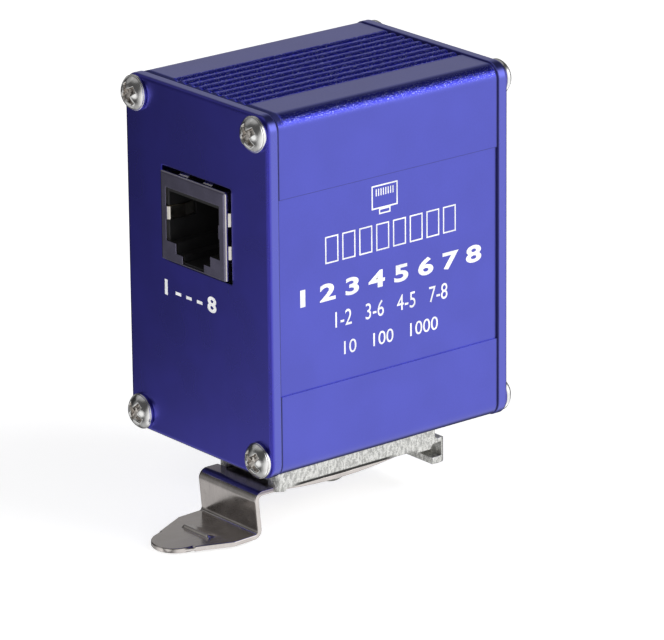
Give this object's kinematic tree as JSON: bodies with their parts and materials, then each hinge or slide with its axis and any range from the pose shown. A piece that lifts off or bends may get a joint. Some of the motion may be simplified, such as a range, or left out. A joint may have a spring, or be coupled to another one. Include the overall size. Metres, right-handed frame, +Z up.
{
  "type": "ethernet surge protector",
  "caption": "Small extruded metal case with a shielded network socket at each end and a spring clip underneath, for guarding one shielded data line against surges.",
  "frame": {"origin": "middle of the plane on which the clip's feet seat, centred between the gripped lips", "axes": "X along the extruded case from the line socket at -X to the equipment socket at +X, Y across the case with the printed side facing -Y, +Z up from the clip to the grooved top"},
  "size_m": [0.0568, 0.0346, 0.0697],
  "materials": {
    "case_blue": "satin blue-violet anodised",
    "plate_blue": "smooth dark blue-violet anodised",
    "screw_steel": "bright zinc plated",
    "clip_zinc": "as-cast zinc alloy with rough streaked sides",
    "strip_steel": "rolled stainless spring steel",
    "rivet_steel": "zinc plated",
    "strap_brass": "plain brass sheet",
    "board_green": "solder-masked glass-fibre board",
    "tube_white": "glazed white ceramic with metal caps",
    "diode_black": "moulded black epoxy",
    "shield_tin": "plain tinned sheet",
    "socket_black": "moulded black plastic",
    "contact_gold": "gold flashed spring wire"
  },
  "bodies": {
    "case": {"housing": "case_blue", "line_end_plate": "plate_blue", "equipment_end_plate": "plate_blue", "line_plate_screws": "screw_steel", "equipment_plate_screws": "screw_steel", "clip_body": "clip_zinc", "latch_leaf": "strip_steel", "clip_rivets": "rivet_steel", "earth_strap": "strap_brass", "circuit_board": "board_green", "gas_tubes": "tube_white", "clamp_diodes": "diode_black", "line_jack_shield": "shield_tin", "line_jack_body": "socket_black", "line_jack_insert": "socket_black", "line_contact_tails": "contact_gold", "equipment_jack_shield": "shield_tin", "equipment_jack_body": "socket_black", "equipment_jack_insert": "socket_black", "equipment_contact_tails": "contact_gold"},
    "latch": {"latch_tongue": "strip_steel"},
    "line_contacts": {"line_contacts": "contact_gold"},
    "equipment_contacts": {"equipment_contacts": "contact_gold"}
  },
  "joints": [
    {"name": "latch_release", "type": "hinge", "parent": "case", "child": "latch", "pos_m": [-0.0146, 0, 0.0009], "axis": [0, 1, 0], "range_deg": [0, 8], "stiffness_Nm_per_rad": 2},
    {"name": "line_contact_lift", "type": "hinge", "parent": "case", "child": "line_contacts", "pos_m": [-0.02145, 0, 0.04635], "axis": [0, -1, 0], "range_deg": [0, 8], "stiffness_Nm_per_rad": 0.6},
    {"name": "equipment_contact_lift", "type": "hinge", "parent": "case", "child": "equipment_contacts", "pos_m": [0.02145, 0, 0.04635], "axis": [0, 1, 0], "range_deg": [0, 8], "stiffness_Nm_per_rad": 0.6}
  ]
}
